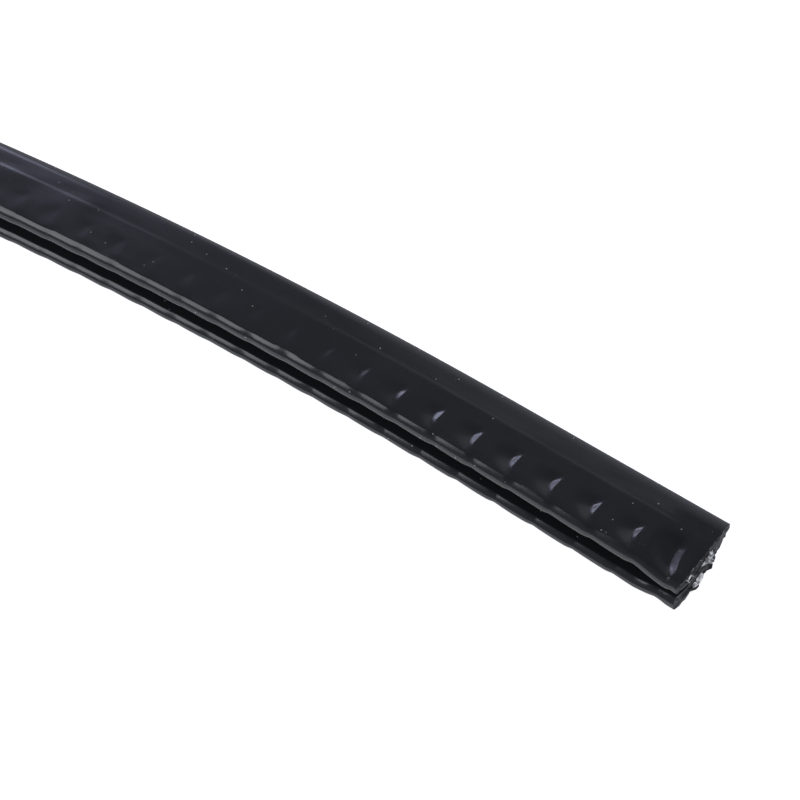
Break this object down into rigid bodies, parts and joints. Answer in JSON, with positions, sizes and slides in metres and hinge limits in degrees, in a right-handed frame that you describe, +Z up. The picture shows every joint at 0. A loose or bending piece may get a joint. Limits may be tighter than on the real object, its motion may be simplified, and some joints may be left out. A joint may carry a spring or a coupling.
{
  "type": "edge trim seal",
  "caption": "Long flexible U-section strip of black PVC over a slotted steel carrier, pushed onto a thin panel's edge to cover and protect it.",
  "frame": {"origin": "middle of the strip's outer box, on the floor that its lower leg lies on", "axes": "+X along the strip to its squeezed cut end, -Y out of the mouth, +Z up from the lower leg to the upper leg"},
  "size_m": [0.9996, 0.025, 0.0095],
  "materials": {
    "black_pvc": "semi-matte extruded PVC with soft dents over the carrier's fingers",
    "carrier_steel": "bright zinc-plated strip, torn at the cut end"
  },
  "bodies": {
    "root": {"pvc_cover": "black_pvc", "steel_carrier": "carrier_steel"}
  },
  "joints": []
}
